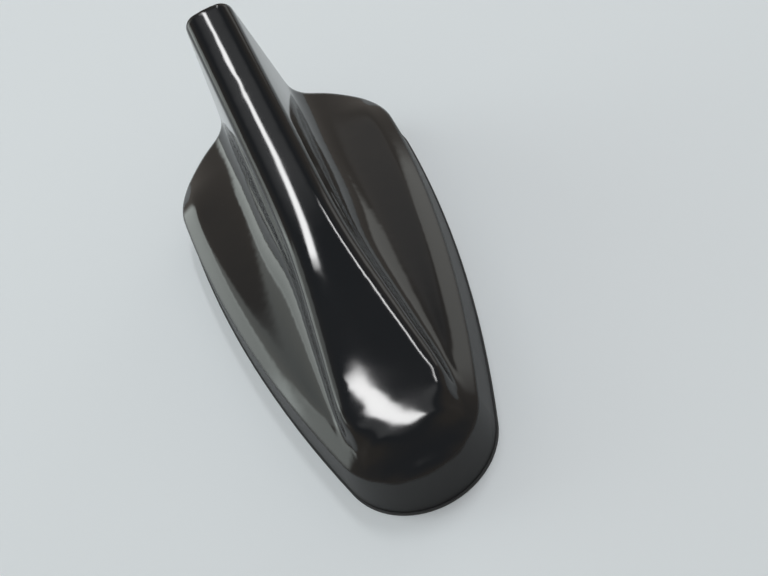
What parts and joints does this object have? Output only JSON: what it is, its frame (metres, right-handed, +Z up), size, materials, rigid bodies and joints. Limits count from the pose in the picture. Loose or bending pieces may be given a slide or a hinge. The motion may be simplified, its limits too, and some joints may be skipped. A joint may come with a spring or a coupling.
{
  "type": "shark fin antenna",
  "caption": "Gloss black car roof antenna: a boat-shaped moulded cover with a swept-back fin, closed by a cast plate and a rubber gasket, with its antenna elements inside.",
  "frame": {"origin": "axis of the fixing thread at the gasket's roof face, which is also the middle of the base", "axes": "+Z up from the roof, -Y towards the nose, +Y towards the tail with the fin's tip"},
  "size_m": [0.074, 0.1506, 0.0649],
  "materials": {
    "cover": "gloss black paint",
    "roof_gasket": "matt moulded rubber",
    "base_plate": "die-cast",
    "rim_seal": "matt",
    "cover_screws": "zinc plated",
    "main_board": "solder resist",
    "board_screws": "zinc plated",
    "amplifier_shield": "tin plated",
    "amplifier_chips": "moulded",
    "gps_patch": "fired ceramic",
    "gps_pad": "adhesive foam",
    "gps_feed_pin": "tin plated",
    "radio_blade": "solder resist",
    "radio_trace": "copper",
    "blade_clip_front": "tin plated",
    "blade_clip_rear": "tin plated",
    "blade_foam": "open foam",
    "phone_blade": "tin plated",
    "lead_grommet": "matt"
  },
  "bodies": {
    "root": {"cover": "cover", "roof_gasket": "roof_gasket", "base_plate": "base_plate", "rim_seal": "rim_seal", "cover_screws": "cover_screws", "main_board": "main_board", "board_screws": "board_screws", "amplifier_shield": "amplifier_shield", "amplifier_chips": "amplifier_chips", "gps_patch": "gps_patch", "gps_pad": "gps_pad", "gps_feed_pin": "gps_feed_pin", "radio_blade": "radio_blade", "radio_trace": "radio_trace", "blade_clip_front": "blade_clip_front", "blade_clip_rear": "blade_clip_rear", "blade_foam": "blade_foam", "phone_blade": "phone_blade", "lead_grommet": "lead_grommet"}
  },
  "joints": []
}
